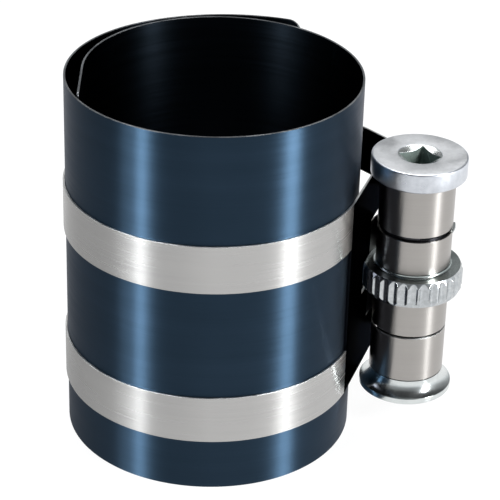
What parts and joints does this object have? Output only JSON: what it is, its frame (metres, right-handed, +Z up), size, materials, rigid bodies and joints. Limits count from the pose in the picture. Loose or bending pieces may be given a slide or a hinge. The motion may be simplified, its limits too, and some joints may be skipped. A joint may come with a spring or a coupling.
{
  "type": "piston ring compressor",
  "caption": "Rolled spring steel sleeve with bands that a square drive spindle winds in to squeeze piston rings, and a knurled collar that lets them go.",
  "frame": {"origin": "On the piston's axis, which is the axis of the sleeve's inner layer, at the sleeve's bottom edge", "axes": "+Z up along the piston's axis, towards the end with the drive head; +X from the piston's axis to the spindle's axis; the picture looks along +Y"},
  "size_m": [0.0845, 0.0628, 0.08],
  "materials": {
    "sleeve_steel": "blued spring steel, satin with fine lines round it",
    "plate_steel": "dark glossy strip steel",
    "band_steel": "bare strip steel, satin",
    "head_steel": "plated, fine matte speckle",
    "plated_steel": "bright plating",
    "inner_steel": "ground steel",
    "bush_bronze": "plain bearing bronze"
  },
  "bodies": {
    "sleeve_and_housing": {"sleeve": "sleeve_steel", "anchor_plate": "plate_steel", "upper_band": "band_steel", "lower_band": "band_steel", "housing_core": "inner_steel", "upper_bush": "bush_bronze", "lower_bush": "bush_bronze", "upper_wrap_spring": "inner_steel", "lower_wrap_spring": "inner_steel"},
    "winding_spindle": {"spindle": "inner_steel", "drive_head": "head_steel", "head_pin": "inner_steel", "base_flange": "plated_steel", "upper_band_coil": "band_steel", "lower_band_coil": "band_steel", "upper_band_pin": "inner_steel", "lower_band_pin": "inner_steel", "thrust_washer": "inner_steel", "retaining_clip": "plated_steel"},
    "release_collar": {"release_ring": "plated_steel"}
  },
  "joints": [
    {"name": "spindle_turn", "type": "hinge", "parent": "sleeve_and_housing", "child": "winding_spindle", "pos_m": [0.0416, 0, 0.0335], "axis": [0, 0, -1], "range_deg": [-330, 570]},
    {"name": "ring_release", "type": "hinge", "parent": "sleeve_and_housing", "child": "release_collar", "pos_m": [0.0416, 0, 0.0337], "axis": [0, 0, -1], "range_deg": [0, 22], "stiffness_Nm_per_rad": 0.05, "springref_deg": -5.73}
  ]
}
